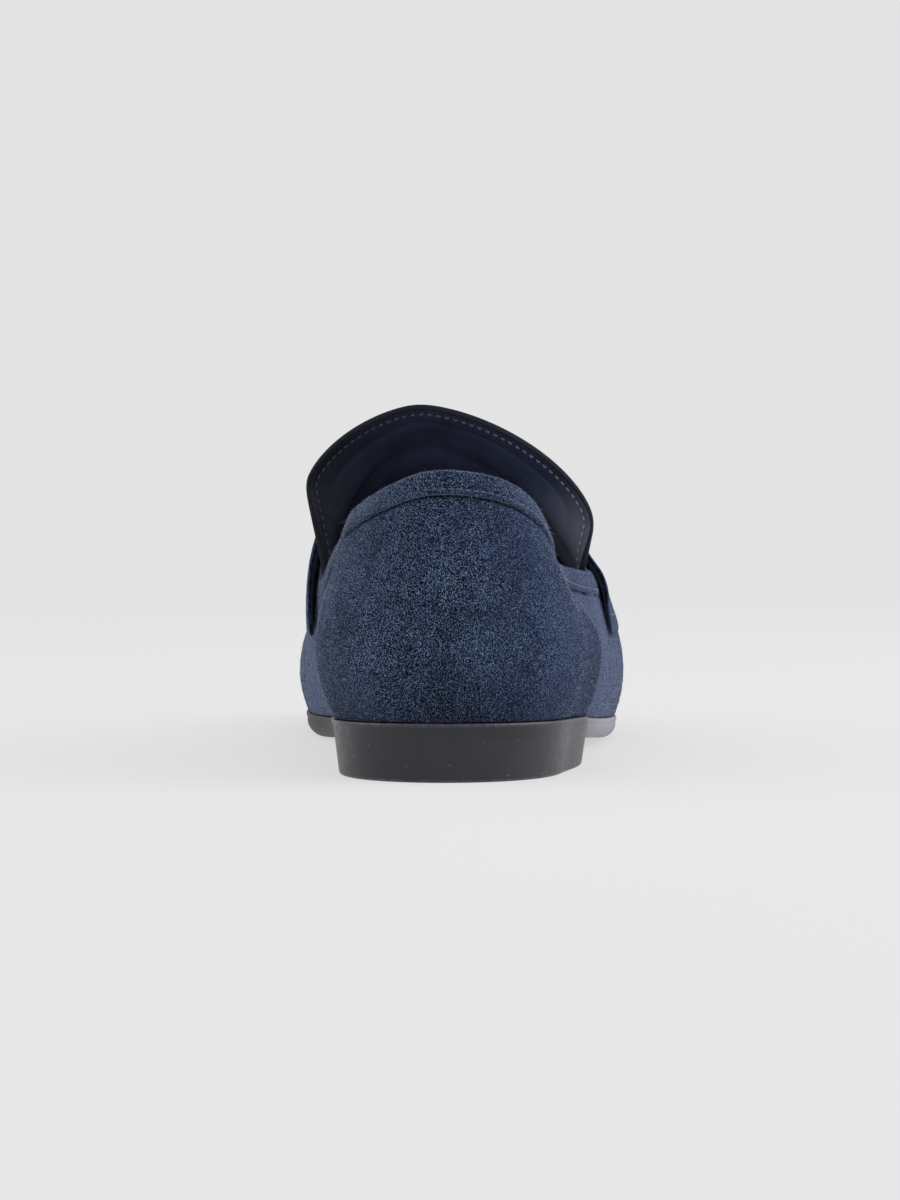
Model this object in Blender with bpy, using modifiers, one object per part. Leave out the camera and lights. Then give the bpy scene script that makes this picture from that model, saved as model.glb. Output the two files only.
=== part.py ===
"""A suede strap loafer for the right foot, built piece by piece on one last.

The last runs along +Y from the back of the heel to the toe, with +X on the outer (lateral) side
of the foot and +Z up. Sizes are in millimetres and are scaled to metres when meshes are made.
"""
import math

import bmesh
import bpy
import numpy as np

MM = 0.001

# Driving sizes of the shoe
LENGTH = 298.0
HEEL_CENTRE = 36.0
TOE_CENTRE = 248.0
HEEL_TIP_X = -2.0
TOE_TIP_X = -6.0
HEEL_ROUNDNESS = 2.05
TOE_ROUNDNESS = 2.25
TOE_SLOPE = 0.3
FAN_RIBS = 8

# Walls, layers and the clearance between neighbouring pieces
GAP = 0.3
UPPER_WALL = 2.0
FEATHER_INSET = 0.8
INSOLE_THICKNESS = 3.0
INSOLE_CLEARANCE = 0.6
TONGUE_THICKNESS = 2.0
STRAP_THICKNESS = 1.8
BINDING_WIDTH = 6.0
BINDING_THICKNESS = 0.8

# Heel block and sole edge
HEEL_BREAST = 70.0
BREAST_SLOPE = 1.6
HEEL_TAPER = 1.9
HEEL_CORNER = 0.9
SOLE_CORNER = 4.6
SOLE_TAPER = 0.3
LEAST_EDGE = 0.6
LIP_HEIGHT = 1.2
LIP_DEPTH = 0.4
LIP_FILLET = 0.3

# Collar, throat, strap and tongue
COLLAR_BACK = 6.0
COLLAR_END = 118.0
THROAT_CENTRE = 152.0
THROAT_POWER = 2.5
QUARTER_BLEND = (88.0, 120.0)
COLLAR_LEAN = math.radians(17.0)
BINDING_END = 125.5
STRAP_REAR = 127.0
STRAP_REAR_CROWN = 131.0
STRAP_FRONT = 160.0
STRAP_FRONT_CROWN = 157.0
STRAP_END_HEIGHT = 35.0
TONGUE_ROOT = 166.0
TONGUE_WAIST = 128.0
TONGUE_UNDER = 137.0
TONGUE_SINK = 0.8
TONGUE_DROP = 2.7
TONGUE_CLEAR = 2.0
TONGUE_FALL = 4.0
TONGUE_SIDE_SHIFT = -1.0
TONGUE_TIP = 108.0
TONGUE_NOTCH = 121.5
TONGUE_HALF_WIDTH = 43.3
TONGUE_DOME = 1.6
TONGUE_DOME_SHARE = 0.8
TONGUE_ROUNDING = 0.1

# Free edge of the tongue: x and height of its peak, of its shoulders and of its ends at the strap
TONGUE_PEAK = (-8.8, 105.3)
TONGUE_SHOULDERS = {"lateral": (43.9, 69.7), "medial": (-44.0, 80.3)}
TONGUE_NOTCHES = {"lateral": (42.0, 60.5), "medial": (-41.0, 66.5)}


class Table:
    """Rows with named columns, read anywhere along the first column as a smooth curve."""

    def __init__(self, columns, rows):
        self.columns = dict(zip(columns, np.array(rows, dtype=float).T))
        self.knots = self.columns[columns[0]]

    def at(self, name, station):
        knots = self.knots
        values = self.columns[name]
        slopes = np.gradient(values, knots)
        place = min(max(station, knots[0]), knots[-1])
        i = min(int(np.searchsorted(knots, place, side="right")) - 1, len(knots) - 2)
        span = knots[i + 1] - knots[i]
        t = (place - knots[i]) / span
        return float(
            (2 * t**3 - 3 * t**2 + 1) * values[i]
            + (t**3 - 2 * t**2 + t) * span * slopes[i]
            + (3 * t**2 - 2 * t**3) * values[i + 1]
            + (t**3 - t**2) * span * slopes[i + 1]
        )


# Outline of the sole's top edge: distance of each side from the axis
PLAN = Table(
    ("station", "medial", "lateral"),
    (
        (0, 33.0, 31.0),
        (33, 33.0, 33.2),
        (64, 34.0, 39.6),
        (92, 33.0, 40.8),
        (120, 32.0, 45.0),
        (150, 36.5, 50.2),
        (182, 44.2, 53.2),
        (207, 46.9, 51.6),
        (232, 45.4, 46.4),
        (262, 41.0, 37.4),
        (298, 36.0, 26.0),
    ),
)

# Height of the sole's top, and of its underside in front of the heel
SOLE_TOP = Table(
    ("station", "height"),
    (
        (0, 16.3), (36, 15.3), (70, 13.9), (100, 11.6), (130, 9.5), (160, 8.0),
        (195, 7.2), (225, 7.7), (250, 9.6), (275, 13.0), (298, 17.0),
    ),
)
SOLE_UNDER = Table(
    ("station", "height"),
    (
        (70, 8.8), (100, 6.4), (130, 3.8), (155, 1.9), (172, 0.8), (188, 0.0),
        (224, 0.0), (236, 0.6), (250, 2.0), (275, 6.0), (298, 11.0),
    ),
)

# Lift of the strap's rear edge, by the share across it from the outer end to the inner one
STRAP_LIFT = Table(
    ("share", "height"),
    (
        (0.0, 0.0), (0.036, 0.2), (0.071, 2.0), (0.09, 2.1), (0.107, 1.3), (0.143, 0.5), (0.2, 0.8),
        (0.3, 1.3), (0.6, 1.4), (0.74, 1.8), (0.82, 2.2), (0.9, 1.8), (1.0, 1.4),
    ),
)

# Sections of the last: how far each side stands out over the sole edge and at what height,
# the crown of the arch, and how full the arch is (2 is an ellipse, less is more pointed)
LAST = Table(
    ("station", "medial_out", "medial_height", "lateral_out", "lateral_height",
     "crown_x", "crown_height", "medial_full", "lateral_full"),
    (
        (0, 3.0, 37, 3.0, 37, -2.0, 140, 2.0, 1.8),
        (45, 4.6, 35, 4.6, 34, 0.5, 130, 2.0, 1.8),
        (58, 4.3, 35, 4.5, 33.5, 0.4, 126, 2.0, 1.8),
        (70, 3.8, 35, 3.5, 33, 0.0, 122, 2.0, 1.8),
        (82, 3.9, 35.5, 1.6, 32, -2.0, 117, 2.0, 1.8),
        (95, 4.6, 36, 0.9, 31, -4.0, 111, 2.0, 1.8),
        (108, 5.7, 37, 1.4, 30, -5.6, 104.5, 2.05, 1.77),
        (118, 6.6, 38, 2.2, 29, -6.5, 100, 2.1, 1.75),
        (135, 7.4, 41, 2.5, 27, -6.0, 92, 2.1, 1.72),
        (152, 5.8, 35, 2.4, 25, -5.0, 83, 2.1, 1.8),
        (178, 3.0, 25, 2.2, 23, -3.0, 69, 2.1, 1.95),
        (205, 1.6, 19, 1.8, 21, -2.0, 57, 2.15, 2.05),
        (230, 1.3, 18, 1.4, 19, -2.5, 48.5, 2.2, 2.15),
        (248, 1.2, 19, 1.2, 19, -3.5, 43.5, 2.25, 2.25),
        (298, 0.8, 26, 0.8, 26, -6.0, 30, 2.25, 2.25),
    ),
)

# The topline of the quarters, from the back of the heel to the strap
TOPLINE = Table(
    ("station", "medial", "medial_height", "lateral", "lateral_height"),
    (
        (6, 25.0, 84.0, 25.0, 84.0),
        (10, 25.3, 81.1, 25.1, 82.3),
        (15, 25.7, 78.5, 25.3, 79.8),
        (22, 26.3, 75.6, 25.6, 75.9),
        (30, 27.2, 72.9, 26.1, 71.0),
        (38, 28.0, 70.7, 26.6, 67.2),
        (60, 29.8, 66.4, 28.0, 61.4),
        (85, 33.4, 61.0, 31.6, 57.0),
        (104, 35.8, 55.4, 36.4, 54.6),
        (118, 37.6, 51.0, 40.0, 53.4),
    ),
)

# Stations of the ribs along the sides of the sole and of the upper
SOLE_STATIONS = (36, 50, 64, 70, 71.6, 82, 96, 110, 124, 138, 150, 160, 172, 180, 188, 200, 212,
                 224, 236, 248)
UPPER_STATIONS = (36, 44, 52, 60, 68, 76, 84, 92, 100, 106, 112, 118, 124, 130, 135, 139.5, 143.5, 146.8,
                  149.4, 151.3, 152, 158, 166, 174, 183, 192, 201, 210, 219, 229, 239, 248)


def side_name(side):
    return "lateral" if side > 0 else "medial"


def smoothstep(low, high, value):
    t = min(max((value - low) / (high - low), 0.0), 1.0)
    return t * t * (3.0 - 2.0 * t)


def opened(station, back=0.0):
    """Share of its full width that an outline has reached between its tip and the fan's centre."""
    if station < HEEL_CENTRE:
        share = (HEEL_CENTRE - station) / (HEEL_CENTRE - back)
        power = HEEL_ROUNDNESS
    else:
        share = max(station - TOE_CENTRE, 0.0) / (LENGTH - TOE_CENTRE)
        power = TOE_ROUNDNESS
    return max(1.0 - share**power, 0.0) ** (1.0 / power)


def outline(table, side, station, back=0.0):
    """Plan point of an outline table, rounded off at the heel and at the toe."""
    tip = HEEL_TIP_X if station < HEEL_CENTRE else TOE_TIP_X
    edge = side * table.at(side_name(side), station)
    return np.array([tip + (edge - tip) * opened(station, back), station])


class Rib:
    """One section line of the last, from the sole's edge in to the spine."""

    def __init__(self, side, station):
        self.side = side
        self.station = station
        self.name = side_name(side)
        middle = min(max(station, HEEL_CENTRE), TOE_CENTRE)
        self.spine = np.array([LAST.at("crown_x", middle), middle])
        self.edge = outline(PLAN, side, station)
        reach = self.edge - self.spine
        self.out = reach / np.linalg.norm(reach)
        self.crown = np.array([*self.spine, LAST.at("crown_height", middle)])
        self.full = LAST.at(self.name + "_full", station)

    def plan(self, inset):
        return self.edge - self.out * inset

    def feather(self):
        place = self.plan(FEATHER_INSET)
        return np.array([*place, SOLE_TOP.at("height", place[1]) + GAP])

    def bulge(self):
        place = self.plan(-LAST.at(self.name + "_out", self.station))
        return np.array([*place, LAST.at(self.name + "_height", self.station)])

    def foot(self, share):
        """Wall between the sole (0) and the widest line (1)."""
        low = self.feather()
        high = self.bulge()
        bow = 1.0 - (1.0 - share) ** 2
        place = low[:2] + (high[:2] - low[:2]) * bow
        return np.array([*place, low[2] + (high[2] - low[2]) * share])

    def arch(self, angle):
        """Wall from the widest line (angle 0) over to the crown (a right angle)."""
        low = self.bulge()
        across = max(math.cos(angle), 0.0) ** (2.0 / self.full)
        up = math.sin(angle) ** (2.0 / self.full)
        place = self.spine + (low[:2] - self.spine) * across
        fall = TOE_SLOPE * (place[1] - self.spine[1]) * (1.0 - across)
        return np.array([*place, low[2] + (self.crown[2] - low[2]) * up - fall])

    def topline(self):
        """Collar point of this rib, at most as far forward as the strap."""
        share = min(self.station, HEEL_CENTRE) / HEEL_CENTRE
        place = COLLAR_BACK + (HEEL_CENTRE - COLLAR_BACK) * share
        if self.station > HEEL_CENTRE:
            place = min(self.station, COLLAR_END)
        plan = outline(TOPLINE, self.side, place, COLLAR_BACK)
        return np.array([*plan, TOPLINE.at(self.name + "_height", place)])

    def quarter(self, share):
        """Wall from the widest line (0) up to the collar (1), leaning in at the top."""
        low = self.bulge()
        top = self.topline()
        rise = top[2] - low[2]
        inward = -self.out * math.sin(COLLAR_LEAN)
        leave = np.array([0.0, 0.0, rise])
        arrive = np.array([*inward, math.cos(COLLAR_LEAN)]) * rise
        t = share
        return (
            (2 * t**3 - 3 * t**2 + 1) * low
            + (t**3 - 2 * t**2 + t) * leave
            + (3 * t**2 - 2 * t**3) * top
            + (t**3 - t**2) * arrive
        )

    def angle_at(self, height):
        low = self.bulge()[2]
        up = (height - low) / (self.crown[2] - low)
        return math.asin(min(max(up, 0.0), 1.0) ** (self.full / 2.0))

    def top_angle(self):
        """Angle on the arch where the wall ends: the collar, the throat or the crown."""
        if self.station >= THROAT_CENTRE:
            return math.pi / 2
        collar = self.angle_at(self.topline()[2])
        if self.station <= COLLAR_END:
            return collar
        run = (self.station - COLLAR_END) / (THROAT_CENTRE - COLLAR_END)
        return math.pi / 2 - (math.pi / 2 - collar) * math.sqrt(1.0 - run**THROAT_POWER)

    def wall(self, share):
        """Outer face of the upper: -1 at the sole, 0 at the widest line, 1 at the top edge."""
        if share <= 0.0:
            return self.foot(1.0 + share)
        blend = smoothstep(*QUARTER_BLEND, self.station)
        arch = self.arch(self.top_angle() * share)
        if blend >= 1.0:
            return arch
        return (1.0 - blend) * self.quarter(share) + blend * arch


def rib_path(stations):
    """Stations from the back of the heel along one side to the tip of the toe."""
    turn = [k / FAN_RIBS * math.pi / 2 for k in range(FAN_RIBS)]
    heel = [HEEL_CENTRE * (1.0 - math.cos(angle)) for angle in turn]
    toe = [LENGTH - (LENGTH - TOE_CENTRE) * (1.0 - math.cos(angle)) for angle in reversed(turn)]
    return heel + list(stations) + toe


def perimeter(stations):
    """Ribs all round the shoe: back, lateral side, toe, medial side."""
    path = rib_path(stations)
    return [Rib(1, s) for s in path] + [Rib(-1, s) for s in reversed(path[1:-1])]


def face_normal(surface, u, v, step=1e-3):
    """Outward unit normal of a surface function of two parameters."""
    along = surface(u + step, v) - surface(u - step, v)
    across = surface(u, v + step) - surface(u, v - step)
    normal = np.cross(along, across)
    return normal / np.linalg.norm(normal)


def material(name, colour, roughness):
    """Principled material with a plain colour and roughness."""
    made = bpy.data.materials.new(name)
    made.use_nodes = True
    shader = made.node_tree.nodes["Principled BSDF"]
    shader.inputs["Base Color"].default_value = (*colour, 1.0)
    shader.inputs["Roughness"].default_value = roughness
    shader.inputs["Metallic"].default_value = 0.0
    return made


def grid_object(name, columns, closed, finish):
    """Mesh through columns of points (mm); a closed grid joins its last column to its first."""
    bm = bmesh.new()
    verts = [[bm.verts.new(point * MM) for point in column] for column in columns]
    count = len(verts) if closed else len(verts) - 1
    for i in range(count):
        left = verts[i]
        right = verts[(i + 1) % len(verts)]
        for j in range(len(left) - 1):
            bm.faces.new((left[j], right[j], right[j + 1], left[j + 1]))
    bmesh.ops.remove_doubles(bm, verts=bm.verts, dist=1e-6)
    mesh = bpy.data.meshes.new(name)
    bm.to_mesh(mesh)
    bm.free()
    mesh.shade_smooth()
    mesh.materials.append(finish)
    made = bpy.data.objects.new(name, mesh)
    return made


def solidify(made, thickness, offset):
    """Give an open sheet its wall."""
    shell = made.modifiers.new("wall", "SOLIDIFY")
    shell.thickness = thickness * MM
    shell.offset = offset
    shell.use_even_offset = True
    shell.use_rim = True
    return made


def sole_underside(station):
    if station <= HEEL_BREAST:
        return 0.0
    return max(SOLE_UNDER.at("height", station), 0.0)


def make_outsole(finish):
    """Moulded unit: flat heel, breast, arch, flat tread, toe spring and a rounded edge."""
    inner_shares = (0.0, 0.35, 0.7)
    columns = []
    for rib in perimeter(SOLE_STATIONS):
        heel = 1.0 - smoothstep(HEEL_BREAST, HEEL_BREAST + BREAST_SLOPE, rib.station)
        top = SOLE_TOP.at("height", rib.station)
        low = sole_underside(rib.station)
        edge_corner = min(SOLE_CORNER, top - low - LIP_HEIGHT - LEAST_EDGE)
        corner = heel * HEEL_CORNER + (1.0 - heel) * edge_corner
        taper = heel * HEEL_TAPER + (1.0 - heel) * SOLE_TAPER
        mid_turn = corner * (1.0 - math.sqrt(0.5))
        profile = [
            (taper + corner, low),
            (taper + mid_turn, low + mid_turn),
            (taper, low + corner),
            (LIP_DEPTH, top - LIP_HEIGHT - LIP_DEPTH),
            (0.0, top - LIP_HEIGHT),
            (0.0, top - LIP_FILLET),
            (LIP_FILLET, top),
        ]
        side = [np.array([*rib.plan(inset), height]) for inset, height in profile]
        under = []
        over = []
        for share in inner_shares:
            under_plan = rib.spine + (side[0][:2] - rib.spine) * share
            over_plan = rib.spine + (side[-1][:2] - rib.spine) * share
            low_here = low if heel == 1.0 else sole_underside(under_plan[1])
            under.append(np.array([*under_plan, low_here]))
            over.append(np.array([*over_plan, SOLE_TOP.at("height", over_plan[1])]))
        columns.append(under + side + over[::-1])
    return grid_object("outsole", columns, True, finish)


def make_insole(finish):
    """Footbed that lies on the sole inside the upper's wall."""
    inset = FEATHER_INSET + UPPER_WALL + INSOLE_CLEARANCE
    columns = []
    for rib in perimeter(SOLE_STATIONS):
        edge = rib.plan(inset)
        low = []
        high = []
        for share in (0.0, 0.35, 0.7, 1.0):
            place = rib.spine + (edge - rib.spine) * share
            base = SOLE_TOP.at("height", place[1]) + GAP
            low.append(np.array([*place, base]))
            high.append(np.array([*place, base + INSOLE_THICKNESS]))
        columns.append(low + high[::-1])
    return grid_object("insole", columns, True, finish)


def make_upper(finish):
    """Vamp and quarters in one hollow wall, open at the collar and throat and underneath."""
    shares = (-1.0, -0.72, -0.44, -0.2, 0.0, 0.14, 0.28, 0.42, 0.55, 0.67, 0.78, 0.88, 0.95, 1.0)
    columns = [[rib.wall(share) for share in shares] for rib in perimeter(UPPER_STATIONS)]
    return solidify(grid_object("upper", columns, True, finish), UPPER_WALL, -1.0)


def wall_offset(side, station, share, offset):
    """Point standing off the upper's outer face by a distance, positive outward."""
    def surface(along, across):
        return Rib(side, along).wall(across)

    nudge = 1e-3
    base_station = max(station, 2 * nudge)
    base_share = min(share, 1.0 - nudge)
    normal = face_normal(surface, base_station, base_share) * side
    return surface(station, share) + normal * offset


def make_collar_binding(finish):
    """Strip along the outside of the collar, from strap to strap round the heel."""
    path = [s for s in rib_path(UPPER_STATIONS) if s < BINDING_END - 2.0] + [BINDING_END]
    walk = [(-1, s) for s in reversed(path[1:])] + [(1, s) for s in path]
    columns = []
    for side, station in walk:
        rib = Rib(side, station)
        length = np.linalg.norm(rib.wall(1.0) - rib.wall(0.5)) * 2.0
        low = 1.0 - BINDING_WIDTH / length
        shares = (low, low + (1.0 - low) * 0.5, 1.0)
        columns.append([wall_offset(side, station, share, GAP) for share in shares])
    return solidify(grid_object("collar_binding", columns, False, finish), BINDING_THICKNESS, 1.0)


def section(station, angle, offset):
    """Point off the arch at a station: angle 0 lateral, a right angle at the crown, then medial.

    Angles beyond either end run down the foot of the wall, a right angle for its whole height.
    """
    def surface(along, turn):
        side = 1 if turn <= math.pi / 2 else -1
        rib = Rib(side, along)
        rise = turn if side > 0 else math.pi - turn
        if rise < 0.0:
            return rib.foot(1.0 + rise / (math.pi / 2))
        return rib.arch(rise)

    return surface(station, angle) + face_normal(surface, station, angle) * offset


def end_angle(side, station, height):
    """Angle of the section where one side of it comes down to a height."""
    rib = Rib(side, station)
    low = rib.feather()[2]
    wide = rib.bulge()[2]
    if height >= wide:
        return rib.angle_at(height)
    return ((height - low) / (wide - low) - 1.0) * math.pi / 2


def make_saddle_strap(finish):
    """Strap over the instep from one side to the other, lifted a little at its rear edge."""
    across = 28
    along = (0.0, 0.2, 0.45, 0.7, 1.0)
    columns = []
    for i in range(across + 1):
        share = i / across
        crown = math.sin(share * math.pi) ** 1.5
        rear = STRAP_REAR + (STRAP_REAR_CROWN - STRAP_REAR) * crown
        front = STRAP_FRONT + (STRAP_FRONT_CROWN - STRAP_FRONT) * crown
        column = []
        for step in along:
            station = rear + (front - rear) * step
            start = end_angle(1, station, STRAP_END_HEIGHT)
            stop = math.pi - end_angle(-1, station, STRAP_END_HEIGHT)
            lift = GAP + STRAP_LIFT.at("height", share) * (1.0 - step) ** 2
            column.append(section(station, start + (stop - start) * share, lift))
        columns.append(column[::-1])
    return solidify(grid_object("saddle_strap", columns, False, finish), STRAP_THICKNESS, 1.0)


def tongue_outline(a):
    """Edge of the tongue, from the medial notch (-1) over its dome to the lateral one (1)."""
    side = 1 if a > 0 else -1
    turn = min(abs(a) / TONGUE_DOME_SHARE, 1.0) * math.pi / 2
    peak = np.array(TONGUE_PEAK)
    shoulder = np.array(TONGUE_SHOULDERS[side_name(side)])
    notch = np.array(TONGUE_NOTCHES[side_name(side)])
    out = math.sin(turn) ** (2.0 / TONGUE_DOME)
    up = max(math.cos(turn), 0.0) ** (2.0 / TONGUE_DOME)
    drop = max(abs(a) - TONGUE_DOME_SHARE, 0.0) / (1.0 - TONGUE_DOME_SHARE)
    x = peak[0] + (shoulder[0] - peak[0]) * out
    z = shoulder[1] + (peak[1] - shoulder[1]) * up
    x, z = np.array([x, z]) + (notch - shoulder) * drop
    y = TONGUE_TIP + (TONGUE_NOTCH - TONGUE_TIP) * (x / TONGUE_HALF_WIDTH) ** 2
    return np.array([x, y, z])


def tongue_edge(a):
    """Free edge of the tongue: its outline with the shoulders rounded."""
    steps = np.linspace(-TONGUE_ROUNDING, TONGUE_ROUNDING, 9)
    return np.mean([tongue_outline(a + step) for step in steps], axis=0)


def tongue_bed(a, station):
    """Tongue where it lies on the instep: flush under the strap, deeper under the vamp."""
    depth = TONGUE_SINK + TONGUE_DROP * smoothstep(TONGUE_WAIST, TONGUE_UNDER, station)
    fall = smoothstep(TONGUE_UNDER, TONGUE_ROOT, station) * TONGUE_FALL
    first = end_angle(1, station, TONGUE_NOTCHES["lateral"][1] + TONGUE_CLEAR - fall)
    last = math.pi - end_angle(-1, station, TONGUE_NOTCHES["medial"][1] + TONGUE_CLEAR - fall)
    return section(station, first + (last - first) * (1.0 - a) / 2.0, -depth)


def make_tongue(finish):
    """Sheet from under the vamp, below the strap and out to a flared dome."""
    across = 24
    bed_rows = 6
    free_rows = 6
    columns = []
    for i in range(across + 1):
        a = 1.0 - 2.0 * i / across
        waist_station = TONGUE_WAIST + TONGUE_SIDE_SHIFT * a * a
        stations = np.linspace(TONGUE_ROOT, waist_station, bed_rows + 1)
        column = [tongue_bed(a, station) for station in stations]
        waist = column[-1]
        free = tongue_edge(a)
        span = np.linalg.norm(free - waist)
        leave = waist - tongue_bed(a, waist_station + 1.0)
        leave = leave / np.linalg.norm(leave) * span
        for j in range(1, free_rows + 1):
            t = j / free_rows
            column.append(
                (2 * t**3 - 3 * t**2 + 1) * waist
                + (t**3 - 2 * t**2 + t) * leave
                + (3 * t**2 - 2 * t**3) * free
                + (t**3 - t**2) * (free - waist)
            )
        columns.append(column)
    return solidify(grid_object("tongue", columns, False, finish), TONGUE_THICKNESS, -1.0)


def clear_scene():
    for old in list(bpy.data.objects):
        bpy.data.objects.remove(old, do_unlink=True)


def centre_on_floor(pieces):
    """Parent the pieces to an empty so that the shoe stands centred over the origin."""
    bpy.context.view_layer.update()
    depsgraph = bpy.context.evaluated_depsgraph_get()
    corners = [np.array(c) for piece in pieces for c in piece.evaluated_get(depsgraph).bound_box]
    low = np.min(corners, axis=0)
    high = np.max(corners, axis=0)
    place = bpy.data.objects.new("shoe_place", None)
    place.location = (-(low[0] + high[0]) / 2, -(low[1] + high[1]) / 2, -low[2])
    bpy.context.scene.collection.objects.link(place)
    for piece in pieces:
        piece.parent = place


def main():
    clear_scene()
    suede = material("navy_suede", (0.026, 0.042, 0.090), 0.95)
    rubber = material("charcoal_rubber", (0.042, 0.041, 0.047), 0.45)
    lining = material("dark_lining", (0.010, 0.011, 0.017), 0.5)
    sock = material("footbed_leather", (0.014, 0.015, 0.022), 0.6)
    pieces = [
        make_outsole(rubber),
        make_insole(sock),
        make_upper(suede),
        make_collar_binding(suede),
        make_tongue(lining),
        make_saddle_strap(suede),
    ]
    shoe = bpy.data.collections.new("suede_loafer")
    bpy.context.scene.collection.children.link(shoe)
    for piece in pieces:
        shoe.objects.link(piece)
    centre_on_floor(pieces)


main()
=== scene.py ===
"""Looks of the suede strap loafer: nap, lining, stitches and sole, on a pale studio floor.

Sizes are in millimetres along the last (x to the outer side, y from heel to toe, z up) and are
turned into the frame's metres when meshes are made.
"""
import math

import bmesh
import bpy
import numpy as np
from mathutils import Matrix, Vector

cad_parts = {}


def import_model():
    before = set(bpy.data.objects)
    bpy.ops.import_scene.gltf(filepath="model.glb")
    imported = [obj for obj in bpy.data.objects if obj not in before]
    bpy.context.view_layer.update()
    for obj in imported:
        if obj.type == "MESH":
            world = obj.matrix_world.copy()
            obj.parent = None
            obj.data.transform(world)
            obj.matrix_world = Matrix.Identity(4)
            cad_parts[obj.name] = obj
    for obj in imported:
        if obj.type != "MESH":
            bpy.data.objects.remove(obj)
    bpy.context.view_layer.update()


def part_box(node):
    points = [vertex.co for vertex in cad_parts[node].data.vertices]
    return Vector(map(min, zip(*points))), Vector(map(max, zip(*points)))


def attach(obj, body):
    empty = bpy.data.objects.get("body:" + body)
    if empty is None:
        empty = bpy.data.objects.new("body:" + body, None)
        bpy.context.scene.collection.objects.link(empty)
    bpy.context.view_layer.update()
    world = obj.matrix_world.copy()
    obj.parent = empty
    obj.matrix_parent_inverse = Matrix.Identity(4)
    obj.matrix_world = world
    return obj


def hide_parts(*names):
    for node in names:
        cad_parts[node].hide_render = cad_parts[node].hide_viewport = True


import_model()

MM = 0.001
WELD = 0.002
RIGHT_ANGLE = math.pi / 2

# Driving sizes of the last, as in the solids
LENGTH = 298
HEEL_CENTRE = 36
TOE_CENTRE = 248
HEEL_TIP_X = -2
TOE_TIP_X = -6
HEEL_ROUNDNESS = 2.05
TOE_ROUNDNESS = 2.25
TOE_SLOPE = 0.3
GAP = 0.3
UPPER_WALL = 2
FEATHER_INSET = 0.8
INSOLE_THICKNESS = 3
INSOLE_CLEARANCE = 0.6
HEEL_BREAST = 70
BREAST_SLOPE = 1.6
HEEL_TAPER = 1.9
HEEL_CORNER = 0.9
SOLE_CORNER = 4.6
SOLE_TAPER = 0.3
LEAST_EDGE = 0.6
LIP_HEIGHT = 1.2
LIP_DEPTH = 0.4
LIP_FILLET = 0.3
COLLAR_BACK = 6
COLLAR_END = 118
THROAT_CENTRE = 152
THROAT_POWER = 2.5
QUARTER_BLEND = (88, 120)
COLLAR_LEAN = math.radians(17)
BINDING_END = 125.5
STRAP_REAR = 127
STRAP_REAR_CROWN = 131
STRAP_FRONT = 160
STRAP_FRONT_CROWN = 157
STRAP_END_HEIGHT = 35
STRAP_THICKNESS = 1.8
TONGUE_ROOT = 166
TONGUE_WAIST = 128
TONGUE_UNDER = 137
TONGUE_SINK = 0.8
TONGUE_DROP = 2.7
TONGUE_CLEAR = 2
TONGUE_FALL = 4
TONGUE_SIDE_SHIFT = -1
TONGUE_TIP = 108
TONGUE_NOTCH = 121.5
TONGUE_HALF_WIDTH = 43.3
TONGUE_DOME = 1.6
TONGUE_DOME_SHARE = 0.8
TONGUE_ROUNDING = 0.1
TONGUE_THICKNESS = 2
TONGUE_PEAK = (-8.8, 105.3)
TONGUE_SHOULDERS = {"lateral": (43.9, 69.7), "medial": (-44, 80.3)}
TONGUE_NOTCHES = {"lateral": (42, 60.5), "medial": (-41, 66.5)}


class Table:
    """Rows with named columns, read anywhere along the first column as a smooth curve."""

    def __init__(self, columns, rows):
        data = np.array(rows, dtype=float)
        self.knots = data[:, 0]
        self.values = {name: data[:, i] for i, name in enumerate(columns)}
        self.slopes = {name: np.gradient(v, self.knots) for name, v in self.values.items()}

    def at(self, name, station):
        knots = self.knots
        place = np.clip(station, knots[0], knots[-1])
        i = np.clip(np.searchsorted(knots, place, side="right") - 1, 0, len(knots) - 2)
        span = knots[i + 1] - knots[i]
        values = self.values[name]
        slopes = self.slopes[name]
        t = (place - knots[i]) / span
        return hermite(t, values[i], slopes[i] * span, values[i + 1], slopes[i + 1] * span)


def hermite(t, start, leave, stop, arrive):
    """Smooth run from start to stop with a given direction at each end."""
    return (
        (2 * t**3 - 3 * t**2 + 1) * start
        + (t**3 - 2 * t**2 + t) * leave
        + (3 * t**2 - 2 * t**3) * stop
        + (t**3 - t**2) * arrive
    )


# Outline of the sole's top edge: distance of each side from the axis
PLAN = Table(("station", "medial", "lateral"), (
    (0, 33, 31),
    (33, 33, 33.2),
    (64, 34, 39.6),
    (92, 33, 40.8),
    (120, 32, 45),
    (150, 36.5, 50.2),
    (182, 44.2, 53.2),
    (207, 46.9, 51.6),
    (232, 45.4, 46.4),
    (262, 41, 37.4),
    (298, 36, 26),
))

# Height of the sole's top, and of its underside in front of the heel
SOLE_TOP = Table(("station", "height"), (
    (0, 16.3), (36, 15.3), (70, 13.9), (100, 11.6), (130, 9.5), (160, 8),
    (195, 7.2), (225, 7.7), (250, 9.6), (275, 13), (298, 17),
))
SOLE_UNDER = Table(("station", "height"), (
    (70, 8.8), (100, 6.4), (130, 3.8), (155, 1.9), (172, 0.8), (188, 0),
    (224, 0), (236, 0.6), (250, 2), (275, 6), (298, 11),
))

# Lift of the strap's rear edge, by the share across it from the outer end to the inner one
STRAP_LIFT = Table(("share", "height"), (
    (0, 0), (0.036, 0.2), (0.071, 2), (0.09, 2.1), (0.107, 1.3), (0.143, 0.5), (0.2, 0.8),
    (0.3, 1.3), (0.6, 1.4), (0.74, 1.8), (0.82, 2.2), (0.9, 1.8), (1, 1.4),
))

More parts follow.
